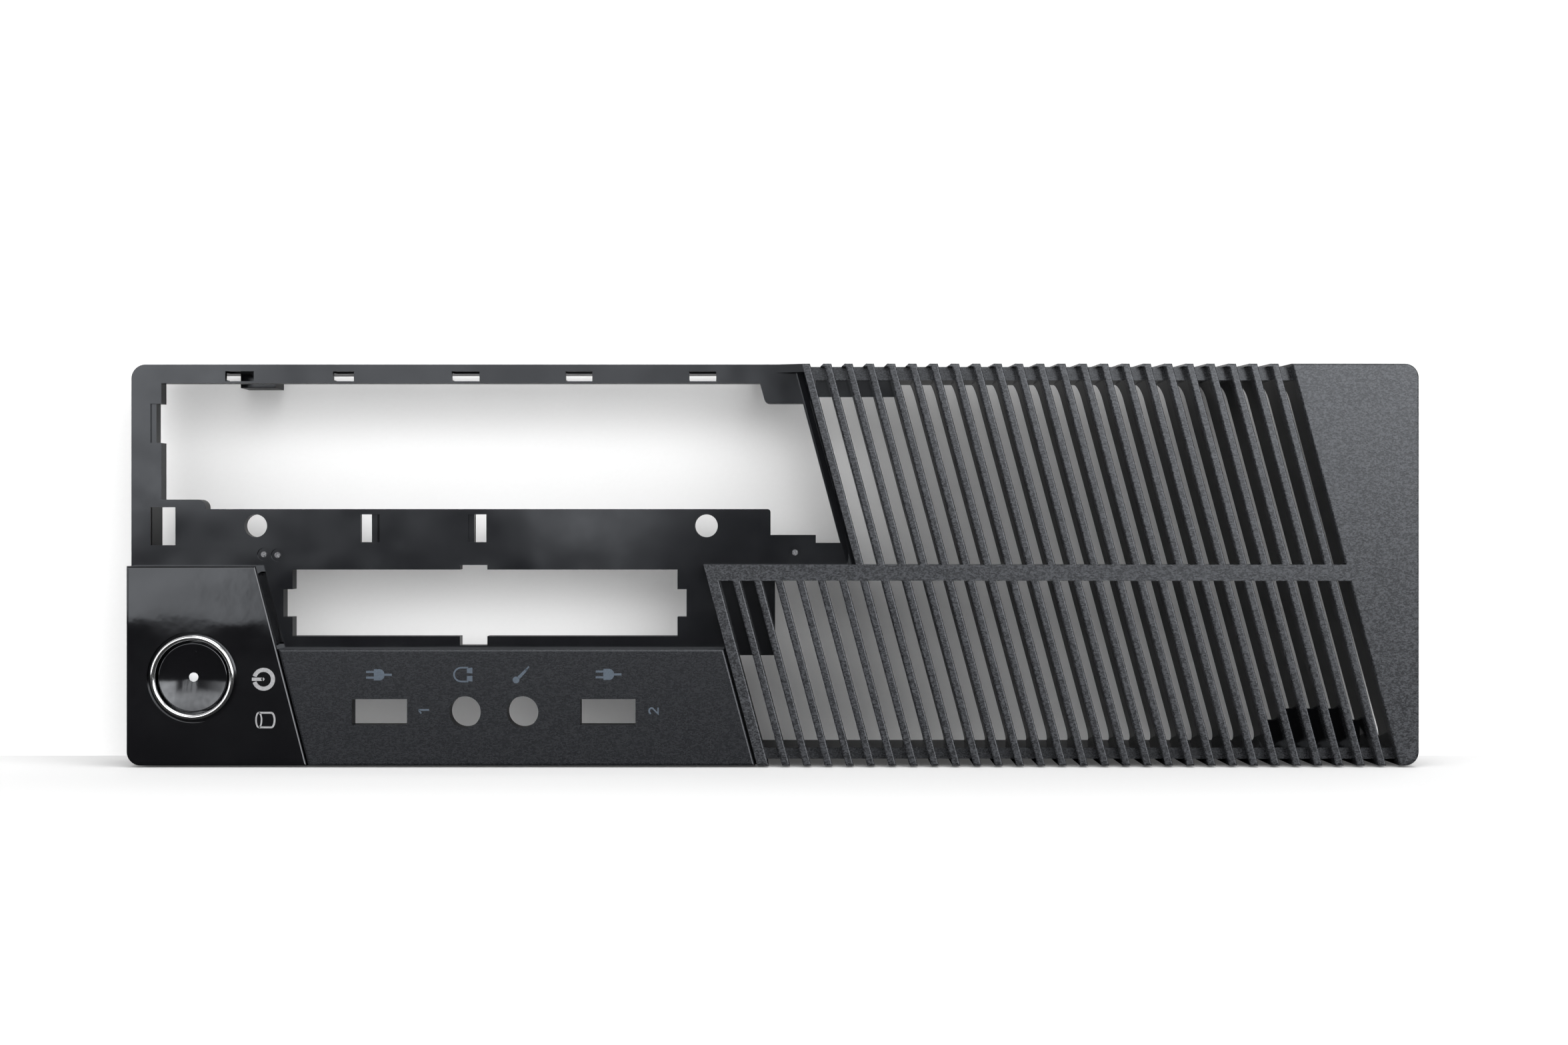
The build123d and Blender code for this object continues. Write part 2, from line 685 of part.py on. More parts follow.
def button_ring():
    """The chrome ring: a domed rim on a sleeve that lines the panel's hole."""
    half = (RING_R - RING_BORE_R) / 2
    spring_line = half - RING_PROUD
    edges = [
        Line((RING_BORE_R, SLEEVE_BACK), (RING_BORE_R, spring_line)),
        ThreePointArc(
            (RING_BORE_R, spring_line), (RING_BORE_R + half, -RING_PROUD), (RING_R, spring_line)),
        Line((RING_R, spring_line), (RING_R, RING_SEAT)),
        Line((RING_R, RING_SEAT), (SLEEVE_R, RING_SEAT)),
        Line((SLEEVE_R, RING_SEAT), (SLEEVE_R, SLEEVE_BACK)),
        Line((SLEEVE_R, SLEEVE_BACK), (RING_BORE_R, SLEEVE_BACK)),
    ]
    return turned(edges)


def power_button():
    """The cap: dished face, skirt with a stop flange, and a stem bored for the lens."""
    rim = CAP_R - CAP_EDGE
    bore = LENS_R + LENS_FIT
    dish = CAP_SET_BACK + CAP_DISH
    sag = dish - CAP_DISH * (rim / 2 / rim) ** 2
    inner = CAP_R - CAP_WALL
    edges = [
        Line((bore, STEM_BACK), (bore, dish)),
        ThreePointArc((bore, dish), (rim / 2, sag), (rim, CAP_SET_BACK)),
        ThreePointArc(
            (rim, CAP_SET_BACK),
            (CAP_R - CAP_EDGE * (1 - sin(radians(45))),
             CAP_SET_BACK + CAP_EDGE * (1 - cos(radians(45)))),
            (CAP_R, CAP_SET_BACK + CAP_EDGE)),
        Line((CAP_R, CAP_SET_BACK + CAP_EDGE), (CAP_R, FLANGE_FRONT)),
        Line((CAP_R, FLANGE_FRONT), (FLANGE_R, FLANGE_FRONT)),
        Line((FLANGE_R, FLANGE_FRONT), (FLANGE_R, FLANGE_BACK)),
        Line((FLANGE_R, FLANGE_BACK), (inner, FLANGE_BACK)),
        Line((inner, FLANGE_BACK), (inner, CAP_INSIDE)),
        Line((inner, CAP_INSIDE), (STEM_R, CAP_INSIDE)),
        Line((STEM_R, CAP_INSIDE), (STEM_R, STEM_BACK)),
        Line((STEM_R, STEM_BACK), (bore, STEM_BACK)),
    ]
    return turned(edges)


def button_lens():
    """The clear light pipe in the button's middle, domed at the front."""
    front = CAP_SET_BACK + CAP_DISH
    edges = [
        Line((0, STEM_BACK), (0, front - LENS_PROUD)),
        ThreePointArc(
            (0, front - LENS_PROUD),
            (LENS_R * sin(radians(45)), front - LENS_PROUD / 2), (LENS_R, front)),
        Line((LENS_R, front), (LENS_R, STEM_BACK)),
        Line((LENS_R, STEM_BACK), (0, STEM_BACK)),
    ]
    return turned(edges)


def button_guide():
    """The cup behind the button: it guides the flange and stem and seats the spring."""
    guide = rod(BUTTON_U, BUTTON_Z, GUIDE_R, COLLAR_BACK, GUIDE_BACK)
    ears = back_from(
        rectangle(BUTTON_U, BUTTON_Z, EAR_W, 2 * EAR_REACH)
        + [Pos(at(BUTTON_U), z) * Circle(EAR_W / 2) for z in SCREW_Z],
        PLATE_BACK, EAR_BACK)
    guide += ears
    guide -= rod(BUTTON_U, BUTTON_Z, GUIDE_BORE_R, COLLAR_BACK - OVER, GUIDE_FLOOR_FRONT)
    guide -= rod(BUTTON_U, BUTTON_Z, STEM_R + STEM_FIT, COLLAR_BACK, GUIDE_BACK + OVER)
    for z in SCREW_Z:
        guide -= rod(BUTTON_U, z, SCREW_R + SCREW_FIT, PLATE_BACK - OVER, EAR_BACK + OVER)
    return guide


def return_spring():
    """The coil spring round the stem, from the cap's inside to the guide's floor."""
    height = GUIDE_FLOOR_FRONT - CAP_INSIDE - 2 * SPRING_WIRE_R
    path = Helix(pitch=height / SPRING_TURNS, height=height, radius=SPRING_R)
    section = Plane(origin=path @ 0, z_dir=path % 0) * RegularPolygon(SPRING_WIRE_R, 8)
    coil = sweep(section, path=path, is_frenet=True)
    upright = Plane(origin=(0, CAP_INSIDE + SPRING_WIRE_R, 0), z_dir=(0, 1, 0))
    return Pos(at(BUTTON_U), 0, BUTTON_Z) * (upright * coil)


def guide_screws():
    """The two screws that hold the guide to the bosses on the plate."""
    screws = []
    for z in SCREW_Z:
        shank = rod(BUTTON_U, z, SCREW_R, EAR_BACK - SCREW_LENGTH, EAR_BACK)
        screws.append(shank + rod(BUTTON_U, z, SCREW_HEAD_R, EAR_BACK, EAR_BACK + SCREW_HEAD_H))
    return Compound(children=screws)


def light_guide():
    """The clear piece that brings light to the two signs on the button panel."""
    plate = back_from(
        rectangle(SIGN_U, SIGN_MIDDLE, GUIDE_PLATE_W, GUIDE_PLATE_H),
        PLATE_BACK, PLATE_BACK + GUIDE_PLATE_T)
    for z in SIGN_Z:
        plate += rod(SIGN_U, z, POST_R, BUTTON_SKIN, PLATE_BACK)
    for z in STAKE_Z:
        plate -= rod(SIGN_U, z, STAKE_R + STAKE_FIT, PLATE_BACK - OVER, PLATE_BACK + FAR)
    return plate


def to_own_frame(shape):
    """Move a piece so that the origin is at the middle of the part's underside."""
    front, back = -RING_PROUD, DEPTH + LATCH_REACH
    return Pos(0, -(front + back) / 2, DEPTH * FLARE) * shape


def main():
    """Make every piece and write one file for each."""
    pieces = {
        "front_moulding": front_moulding(),
        "port_panel": port_panel(),
        "button_panel": button_panel(),
        "button_ring": button_ring(),
        "power_button": power_button(),
        "button_lens": button_lens(),
        "button_guide": button_guide(),
        "return_spring": return_spring(),
        "guide_screws": guide_screws(),
        "light_guide": light_guide(),
    }
    for name, shape in pieces.items():
        export_step(to_own_frame(shape), f"parts/{name}.step")


os.makedirs("parts", exist_ok=True)
main()
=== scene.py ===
"""Looks of a desktop computer's front bezel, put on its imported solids.

Places are written in millimetres the way the moulding's drawing gives them:
u from the left end, z up from the lower front edge and y back from the front
faces. place() turns them into metres in the frame's own axes.
"""
import math

import bmesh
import bpy
from mathutils import Matrix, Vector


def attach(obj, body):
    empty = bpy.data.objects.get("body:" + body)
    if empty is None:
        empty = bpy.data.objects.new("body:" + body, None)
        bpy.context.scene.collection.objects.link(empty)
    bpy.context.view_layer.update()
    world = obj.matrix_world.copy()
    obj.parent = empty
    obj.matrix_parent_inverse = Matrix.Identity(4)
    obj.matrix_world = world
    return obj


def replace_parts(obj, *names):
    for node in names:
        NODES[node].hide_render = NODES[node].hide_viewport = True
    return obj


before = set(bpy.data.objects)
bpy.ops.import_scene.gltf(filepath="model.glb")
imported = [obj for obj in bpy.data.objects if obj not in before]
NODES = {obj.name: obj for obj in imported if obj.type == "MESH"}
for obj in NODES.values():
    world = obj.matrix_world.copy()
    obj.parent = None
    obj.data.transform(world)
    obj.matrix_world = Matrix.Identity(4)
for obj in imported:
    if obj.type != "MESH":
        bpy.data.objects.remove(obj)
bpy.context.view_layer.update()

MM = 0.001
WIDTH = 336.8
HEIGHT = 104.8
DEPTH = 30.0
Y_SHIFT = -17.55
Z_SHIFT = 0.5237

# Where the moulding's grain lies
LEAN = math.tan(math.radians(15))
GRILLE_LOW_X = -4.0
GRILLE_HIGH_X = 35.75
GRAIN_MARGIN = 0.1
GRAIN_DEPTH = 5.6
MID_BAR_TOP = 52.4
RAIL_TOP = 104.1
SILL_UNDER = 1.5
END_SKIN = 0.4
GATE_MARKS = ((174.25, 55.5), (38.25, 54.8), (34.65, 55.0))
GATE_PIP_R = 0.9

# Forms of the moulding that are made here
WALL = 2.2
RECESS = 6.0
PLATE_BACK = 8.2
LIP_BACK = 13.0
DRAFT_FLARE = math.tan(math.radians(1))
FIRST_SLAT_U = 167.35
PITCH = 5.55
SLAT_W = 2.05
SLAT_COUNT = 30
LOWER_ONLY = 7
RAIL_FACE = 104.2
RIB_FLANK = 0.9
RIB_ROOT = 0.3
TOP_SLOTS = ((28.3, 7.5), (55.6, 5.5), (87.7, 7.3), (117.5, 7.0), (150.0, 7.1))
TOP_SLOT_Z = (100.5, 103.15)
BAR_SLOT_U = (63.0, 65.15)
BAR_SLOT_Z = (58.2, 65.5)
BRIDGE_U = (62.9, 89.8)
BRIDGE_Z = (56.4, 66.0)
BRIDGE_BACK = 11.2
BRIDGE_T = 1.5
PLATE_ROOT = 1.0
CORNER_RIB_U = (1.1, 4.85)
CORNER_RIB_Z = (55.2, 69.6)
CORNER_RIB_BACK = 20.0
RAMP_LENGTH = 8.4
RAMP_H = 2.1
BUTTON_PANEL_U = 47.1
BUTTON_LEAN = math.tan(math.radians(14.5))
WELL_OFF = (-1.5, 1.1)
WELL_Z = (31.5, 50.5)
WELL_WALL = 1.2
WELL_FLOOR = 11.3
WELL_ROOT = 0.2
CATCH_U = 29.7
CATCH_W = 9.4
CATCH_T = 2.0
CATCH_INSET = 5.2
CATCH_FRONT = 24.0
CATCH_END = 36.0
CATCH_BARB = 1.2

# The catch that is taken away, and how far each cut goes round it
OLD_CATCH_U = (43.9, 56.1)
OLD_CATCH_BELOW = 3.0
OLD_CATCH_ABOVE = 1.2
OLD_CATCH_AHEAD = 0.1
OLD_CATCH_BEHIND = 0.2
WALL_SPARED = 0.4
RIM_SPARED = 0.02

CUT_PAST = 1.0
JOINED = 0.1
INSIDE_BOX = 0.01
WELD = 0.0005

# The guide's screws: half outlines as (radius, height) over the head's seat
BUTTON_U = 17.25
SCREW_Z = (38.6, 7.4)
SCREW_HEAD_FRONT = 10.2
SCREW_HEAD = ((0.0, 1.40), (0.9, 1.38), (1.5, 1.22), (1.9, 0.92), (2.08, 0.55),
              (2.1, 0.25), (2.0, 0.0), (1.1, 0.0))
SCREW_CREST = 1.1
SCREW_ROOT = 0.86
SCREW_NECK = -0.1
THREAD_START = -0.3
THREAD_STEP = 0.25
THREAD_POINTS = 17
SCREW_TIP = ((0.7, -4.6), (0.0, -5.0))
SCREW_SIDES = 40
SCREW_SHARP = math.radians(32)
# The cross recess: length, width and height of one bar at its floor and its mouth
CROSS_FLOOR = (1.3, 0.34, 0.45)
CROSS_MOUTH = (2.3, 0.46, 1.6)

# The photograph's view
LENS = 61.7
SENSOR = 36.0
CAMERA_X = 2.95
CAMERA_Z = 63.9
CAMERA_BACK = 700.0


def place(u, y, z):
    """A drawing place as a point in metres in the frame's axes."""
    return Vector((u - WIDTH / 2, y + Y_SHIFT, z + Z_SHIFT)) * MM


def mesh_data(name, mesh):
    """A made mesh as Blender data."""
    data = bpy.data.meshes.new(name)
    mesh.to_mesh(data)
    mesh.free()
    return data


def in_scene(name, data):
    """An object of some data, linked into the scene."""
    item = bpy.data.objects.new(name, data)
    bpy.context.scene.collection.objects.link(item)
    return item


def subtracted(data, cutter_data):
    """A mesh with another one taken out of it."""
    blank = in_scene("blank", data)
    cutter = in_scene("cutter", cutter_data)
    cut = blank.modifiers.new("cut", "BOOLEAN")
    cut.operation = "DIFFERENCE"
    cut.solver = "EXACT"
    cut.use_self = True
    cut.object = cutter
    bpy.context.view_layer.update()
    ready = blank.evaluated_get(bpy.context.evaluated_depsgraph_get())
    shape = bpy.data.meshes.new_from_object(ready)
    bpy.data.objects.remove(blank)
    bpy.data.objects.remove(cutter)
    return shape


class Nodes:
    """A short way to write one material's node tree."""

    def __init__(self, name):
        self.material = bpy.data.materials.new(name)
        self.material.use_nodes = True
        self.tree = self.material.node_tree
        self.shader = self.tree.nodes["Principled BSDF"]
        self.output = self.tree.nodes["Material Output"]

    def add(self, kind, links=None, **settings):
        node = self.tree.nodes.new(kind)
        for key, value in settings.items():
            setattr(node, key, value)
        for key, value in (links or {}).items():
            self.set(node.inputs[key], value)
        return node

    def set(self, socket, value):
        if isinstance(value, bpy.types.NodeSocket):
            self.tree.links.new(value, socket)
        else:
            socket.default_value = value

    def math(self, operation, a, b=0.0):
        return self.add("ShaderNodeMath", {0: a, 1: b}, operation=operation).outputs[0]

    def range(self, value, low, high, to_low=0.0, to_high=1.0, smooth=False):
        kind = "SMOOTHSTEP" if smooth else "LINEAR"
        return self.add(
            "ShaderNodeMapRange",
            {"Value": value, "From Min": low, "From Max": high,
             "To Min": to_low, "To Max": to_high},
            interpolation_type=kind).outputs["Result"]

    def place(self):
        return self.add("ShaderNodeTexCoord").outputs["Object"]

    def noise(self, scale, detail=2.0, rough=0.5, vector=None):
        return self.add(
            "ShaderNodeTexNoise",
            {"Vector": vector or self.place(), "Scale": scale, "Detail": detail,
             "Roughness": rough}).outputs["Fac"]

    def mix(self, factor, a, b):
        node = self.add("ShaderNodeMix", data_type="RGBA")
        self.set(node.inputs[0], factor)
        self.set(node.inputs[6], a)
        self.set(node.inputs[7], b)
        return node.outputs[2]

    def mix_number(self, factor, a, b):
        node = self.add("ShaderNodeMix", data_type="FLOAT")
        self.set(node.inputs[0], factor)
        self.set(node.inputs[2], a)
        self.set(node.inputs[3], b)
        return node.outputs[0]

    def bump(self, height, strength, distance, normal=None):
        links = {"Height": height, "Strength": strength, "Distance": distance}
        if normal is not None:
            links["Normal"] = normal
        return self.add("ShaderNodeBump", links).outputs["Normal"]

    def finish(self, **sockets):
        for key, value in sockets.items():
            self.set(self.shader.inputs[key.replace("_", " ")], value)
        return self.material


def rgb(r, g, b):
    return (r, g, b, 1.0)


def grey(level):
    return rgb(level, level, level)


COOL = rgb(0.90, 0.94, 1.0)
DUST = grey(0.12)
GRAIN_ROUGHNESS = 0.21
GRAIN_RELIEF = 0.00003


def spark_grain(n):
    """A spark-eroded mould grain: its height, and its lighter tips from 0 to 1."""
    along = n.add("ShaderNodeVectorMath", {0: n.place(), 1: (0.55, 1.0, 1.0)},
                  operation="MULTIPLY").outputs[0]
    pebbles = n.noise(3500.0, 2.0, 0.6, vector=along)
    broad = n.noise(1500.0, 2.0, 0.5, vector=along)
    height = n.math("ADD", pebbles, n.math("MULTIPLY", broad, 0.4))
    return height, n.range(height, 0.58, 0.86, smooth=True)


def dusted(n, color, scale):
    """A colour with a few pale specks of dust on it."""
    specks = n.range(n.noise(scale, 1.0, 0.5), 0.80, 0.84, 0.0, 0.5)
    return n.mix(specks, color, DUST)


def near(n, axes, u, z, radius):
    """1 within a radius of a place on the front, fading to 0 at its rim."""
    spot = place(u, 0, z)
    dx = n.math("SUBTRACT", axes["X"], spot.x)
    dz = n.math("SUBTRACT", axes["Z"], spot.z)
    square = n.math("ADD", n.math("MULTIPLY", dx, dx), n.math("MULTIPLY", dz, dz))
    distance = n.math("SQRT", square)
    return n.range(distance, 0.6 * radius * MM, radius * MM, 1.0, 0.0, smooth=True)


def grained_part(n, axes):
    """1 on the grille and the end panel, 0 on the recessed plate."""
    z = n.math("SUBTRACT", axes["Z"], Z_SHIFT * MM)
    line = n.math("ADD", axes["X"], n.math("MULTIPLY", z, LEAN))
    upper = n.math("GREATER_THAN", z, MID_BAR_TOP * MM)
    limit = n.mix_number(upper, GRILLE_LOW_X * MM, GRILLE_HIGH_X * MM)
    limit = n.math("SUBTRACT", limit, GRAIN_MARGIN * MM)
    right = n.math("GREATER_THAN", line, limit)
    shallow = n.math("LESS_THAN", axes["Y"], (GRAIN_DEPTH + Y_SHIFT) * MM)
    over = n.math("GREATER_THAN", z, RAIL_TOP * MM)
    under = n.math("LESS_THAN", z, SILL_UNDER * MM)
    end = n.math("GREATER_THAN", axes["X"], (WIDTH / 2 - END_SKIN) * MM)
    outside = n.math("MAXIMUM", n.math("MAXIMUM", shallow, over),
                     n.math("MAXIMUM", under, end))
    return n.math("MULTIPLY", right, outside)


def black_moulding():
    """Spark grain on the grille and end panel, semi-gloss on the recessed plate."""
    n = Nodes("black_moulding")
    axes = n.add("ShaderNodeSeparateXYZ", {"Vector": n.place()}).outputs
    grained = grained_part(n, axes)
    grain, tips = spark_grain(n)
    textured = n.mix(tips, rgb(0.0120, 0.0124, 0.0138), rgb(0.050, 0.052, 0.057))
    flow = n.noise(14.0, 4.0, 0.6)
    smooth = n.mix(flow, rgb(0.0036, 0.0039, 0.0048), rgb(0.0066, 0.0070, 0.0084))
    color = n.mix(grained, dusted(n, smooth, 2600.0), textured)
    smudge = n.range(n.noise(60.0, 4.0, 0.6), 0.3, 0.7, 0.08, 0.14)
    roughness = n.mix_number(grained, smudge, GRAIN_ROUGHNESS)
    torn_and_glint = n.range(n.noise(3500.0, 3.0, 0.7), 0.35, 0.6)
    # The gate pips' light grey is partly their torn surface and partly a painted glint.
    for u, z in GATE_MARKS:
        pip = near(n, axes, u, z, GATE_PIP_R)
        color = n.mix(n.math("MULTIPLY", pip, torn_and_glint), color, rgb(0.24, 0.24, 0.25))
        roughness = n.mix_number(pip, roughness, 0.7)
    waves = n.noise(26.0, 2.0, 0.45)
    wavy = n.bump(waves, n.mix_number(grained, 1.0, 0.0), 0.0004)
    peel = n.math("MULTIPLY", n.noise(260.0, 2.0, 0.4), 0.10)
    height = n.mix_number(grained, peel, grain)
    normal = n.bump(height, 0.42, GRAIN_RELIEF, wavy)
    return n.finish(Base_Color=color, Roughness=roughness, Normal=normal,
                    Specular_Tint=COOL)


def textured_panel():
    """The port panel's grain, darker than the grille: partly a darker black, partly
    painted shade for the dimmer light low on the left.
    """
    n = Nodes("textured_panel")
    grain, tips = spark_grain(n)
    # Painted shade: these colours are set darker to stand for weaker light on the
    # panel.
    color = n.mix(tips, rgb(0.0075, 0.0080, 0.0095), rgb(0.0170, 0.0178, 0.0200))
    normal = n.bump(grain, 0.4, GRAIN_RELIEF)
    return n.finish(Base_Color=color, Roughness=GRAIN_ROUGHNESS, Normal=normal,
                    Specular_Tint=COOL)


CROWN_FROM = 34.0


def polished(name, wave, crown):
    """Polished black with slow waves, a trace of orange peel and faint wipe marks.

    wave is the height of the waves in metres. crown bends the surface back above
    CROWN_FROM, as the square of the height over it.
    """
    n = Nodes(name)
    wipe = n.noise(24.0, 5.0, 0.65)
    color = n.mix(wipe, rgb(0.0024, 0.0024, 0.0030), rgb(0.0044, 0.0044, 0.0052))
    roughness = n.range(wipe, 0.35, 0.75, 0.07, 0.15)
    z = n.add("ShaderNodeSeparateXYZ", {"Vector": n.place()}).outputs["Z"]
    over = n.math("MAXIMUM", n.math("SUBTRACT", z, CROWN_FROM * MM), 0.0)
    bowed = n.math("MULTIPLY", n.math("MULTIPLY", over, over), -crown)
    swell = n.math("MULTIPLY", n.noise(30.0, 2.0, 0.45), wave)
    waves = n.bump(n.math("ADD", bowed, swell), 1.0, 1.0)
    normal = n.bump(n.noise(320.0, 2.0, 0.4), 0.04, 0.0003, waves)
    return n.finish(Base_Color=dusted(n, color, 2400.0), Roughness=roughness,
                    Normal=normal, Coat_Weight=0.3, Coat_Roughness=0.05,
                    Specular_Tint=COOL)


def chrome():
    """Bright plating with a slight haze."""
    n = Nodes("chrome_ring")
    haze = n.noise(900.0, 3.0, 0.5)
    color = n.mix(haze, rgb(0.70, 0.70, 0.71), rgb(0.80, 0.80, 0.81))
    roughness = n.range(haze, 0.3, 0.7, 0.06, 0.16)
    return n.finish(Base_Color=color, Roughness=roughness, Metallic=1.0)


def clear_lens():
    """Milky clear moulding, bright where light leaves it."""
    n = Nodes("clear_lens")
    cloud = n.noise(1500.0, 2.0, 0.5)
    color = n.mix(cloud, rgb(0.82, 0.84, 0.86), rgb(0.93, 0.94, 0.95))
    roughness = n.range(cloud, 0.3, 0.7, 0.08, 0.2)
    return n.finish(Base_Color=color, Roughness=roughness,
                    Transmission_Weight=0.35, IOR=1.49)


def black_inner():
    """Satin black of the parts behind the panel."""
    n = Nodes("black_inner")
    flow = n.noise(70.0, 3.0, 0.5)
    color = n.mix(flow, rgb(0.022, 0.022, 0.024), rgb(0.036, 0.036, 0.038))
    normal = n.bump(n.noise(1800.0, 3.0, 0.55), 0.3, 0.00004)
    return n.finish(Base_Color=color, Roughness=0.42, Normal=normal)


def spring_steel():
    """Drawn wire with faint die lines."""
    n = Nodes("spring_steel")
    lines = n.noise(4000.0, 2.0, 0.6)
    color = n.mix(lines, rgb(0.42, 0.42, 0.43), rgb(0.62, 0.62, 0.63))
    roughness = n.range(lines, 0.3, 0.7, 0.24, 0.38)
    normal = n.bump(lines, 0.2, 0.00001)
    return n.finish(Base_Color=color, Roughness=roughness, Normal=normal, Metallic=1.0)


def screw_steel():
    """Zinc plating with its patchy sheen."""
    n = Nodes("screw_steel")
    patches = n.noise(1100.0, 4.0, 0.6)
    color = n.mix(patches, rgb(0.45, 0.46, 0.46), rgb(0.66, 0.67, 0.67))
    roughness = n.range(patches, 0.3, 0.7, 0.2, 0.4)
    return n.finish(Base_Color=color, Roughness=roughness, Metallic=1.0)


def print_ink(name, color):
    """Pad-printed ink, a little thin and worn in places."""
    n = Nodes(name)
    thin = n.noise(2600.0, 3.0, 0.6)
    faded = tuple(0.72 * part for part in color)
    tone = n.mix(n.range(thin, 0.35, 0.65), rgb(*faded), rgb(*color))
    normal = n.bump(thin, 0.2, 0.00003)
    return n.finish(Base_Color=tone, Roughness=0.5, Normal=normal)


def assign(node, material):
    data = NODES[node].data
    data.materials.clear()
    data.materials.append(material)


CLEAR = clear_lens()
assign("front_moulding", black_moulding())
assign("port_panel", textured_panel())
assign("button_panel", polished("gloss_panel", wave=0.0003, crown=1.8))
assign("button_ring", chrome())
assign("power_button", polished("gloss_cap", wave=0.0001, crown=0.0))
assign("button_lens", CLEAR)
assign("light_guide", CLEAR)
assign("button_guide", black_inner())
assign("return_spring", spring_steel())
assign("guide_screws", screw_steel())

PORT_INK = print_ink("port_ink", (0.062, 0.085, 0.115))
LIGHT_INK = print_ink("light_ink", (0.33, 0.33, 0.34))
SIGN_PROUD = 0.04
SIGN_DEPTH = 1.2 * SIGN_PROUD


class Sign:
    """A thin print on the front faces, drawn in millimetres about its middle."""

    def __init__(self, name, u, z, ink):
        self.name, self.u, self.z, self.ink = name, u, z, ink
        self.mesh = bmesh.new()

    def area(self, points):
        """A filled outline, given as (right, up) from the sign's middle."""
        corners = [self.mesh.verts.new(place(self.u + a, -SIGN_PROUD, self.z + b))
                   for a, b in points]
        face = self.mesh.faces.new(corners)
        made = bmesh.ops.extrude_face_region(self.mesh, geom=[face])["geom"]
        moved = [part for part in made if isinstance(part, bmesh.types.BMVert)]
        bmesh.ops.translate(self.mesh, verts=moved, vec=(0, SIGN_DEPTH * MM, 0))

    def line(self, points, width, closed=False):
        """A stroke of even width along points, with mitred bends."""
        count = len(points)
        sides = []
        for i, (x, y) in enumerate(points):
            before = points[i - 1] if closed or i else points[i]
            after = points[(i + 1) % count] if closed or i < count - 1 else points[i]
            ways = [Vector((x - before[0], y - before[1])),
                    Vector((after[0] - x, after[1] - y))]
            ways = [way.normalized() for way in ways if way.length > 0]
            way = sum(ways, Vector((0, 0))).normalized()
            half = width / 2 / max(0.5, way.dot(ways[0]))
            across = Vector((-way.y, way.x)) * half
            sides.append(((x + across.x, y + across.y), (x - across.x, y - across.y)))
        for i in range(count if closed else count - 1):
            (a, b), (c, d) = sides[i], sides[(i + 1) % count]
            self.area([a, b, d, c])

    def disc(self, x, y, radius):
        self.area(arc(x, y, radius, radius, 0, 345, 23))

    def done(self):
        bmesh.ops.recalc_face_normals(self.mesh, faces=self.mesh.faces)
        data = mesh_data(self.name, self.mesh)
        data.materials.append(self.ink)
        piece = in_scene(self.name, data)
        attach(piece, "bezel")


def arc(x, y, across, up, start, end, steps=20):
    """Points on an ellipse between two angles in degrees."""
    turns = [math.radians(start + (end - start) * i / steps) for i in range(steps + 1)]
    return [(x + across * math.cos(t), y + up * math.sin(t)) for t in turns]


def plug_sign(name, u, z):
    """A plain two-pin plug on its lead."""
    sign = Sign(name, u, z, PORT_INK)
    sign.area([(-1.2, -1.45)] + arc(0.3, 0, 1.3, 1.45, -90, 90) + [(-1.2, 1.45)])
    for side in (-0.75, 0.75):
        sign.line([(-3.2, side), (-1.2, side)], 0.55)
    sign.line([(1.6, 0), (3.5, 0)], 0.55)
    sign.done()


def headphones_sign():
    """A head band open to the right with its two pads."""
    sign = Sign("sign_headphones", 87.6, 23.75, PORT_INK)
    band = [(1.5, 1.8)] + arc(-0.25, 0, 1.95, 1.8, 90, 270) + [(1.5, -1.8)]
    sign.line(band, 0.42)
    for side in (-1.05, 1.05):
        sign.area([(1.15, side - 0.65), (2.6, side - 0.75),
                   (2.6, side + 0.75), (1.15, side + 0.65)])
    sign.done()


def microphone_sign():
    """A hand microphone that leans to the right."""
    sign = Sign("sign_microphone", 102.9, 23.7, PORT_INK)
    sign.disc(-1.35, -1.35, 0.88)
    sign.area([(-0.95, -0.45), (-0.35, -1.05), (1.6, 1.15), (1.2, 1.6)])
    sign.line([(1.2, 1.2), (2.0, 2.15)], 0.4)
    sign.done()


def digits():
    """The port numbers, turned a quarter to the left."""
    one = Sign("digit_1", 77.5, 14.2, PORT_INK)
    one.line([(-1.35, 0.35), (1.4, 0.35)], 0.45)
    one.line([(-1.3, 0.35), (-0.65, -0.6)], 0.42)
    one.done()
    two = Sign("digit_2", 137.45, 14.28, PORT_INK)
    bowl = arc(0, 0, 0.75, 0.62, 165, -35)
    upright = [(x, y + 0.6) for x, y in bowl] + [(-0.75, -1.1), (0.85, -1.1)]
    two.line([(-y, x) for x, y in upright], 0.42)
    two.done()


def lit_signs():
    """The power and drive signs in front of the light guide."""
    power = Sign("sign_power", 35.8, 22.53, LIGHT_INK)
    power.line(arc(0, 0, 2.45, 2.45, 163, -163, 48), 1.05)
    power.line([(-3.05, 0), (-0.2, 0)], 0.85)
    power.disc(-0.2, 0, 0.43)
    power.done()
    drive = Sign("sign_drive", 36.3, 11.9, LIGHT_INK)
    drive.line(arc(-1.75, 0, 0.72, 1.9, 0, 345, 23), 0.4, closed=True)
    drive.line([(-1.75, 1.9), (1.5, 1.9)] + arc(1.5, 0, 0.85, 1.9, 80, -80, 16)
               + [(1.5, -1.9), (-1.75, -1.9)], 0.48)
    drive.done()


plug_sign("sign_plug_left", 65.7, 23.7)
plug_sign("sign_plug_right", 125.5, 23.8)
headphones_sign()
microphone_sign()
digits()
lit_signs()


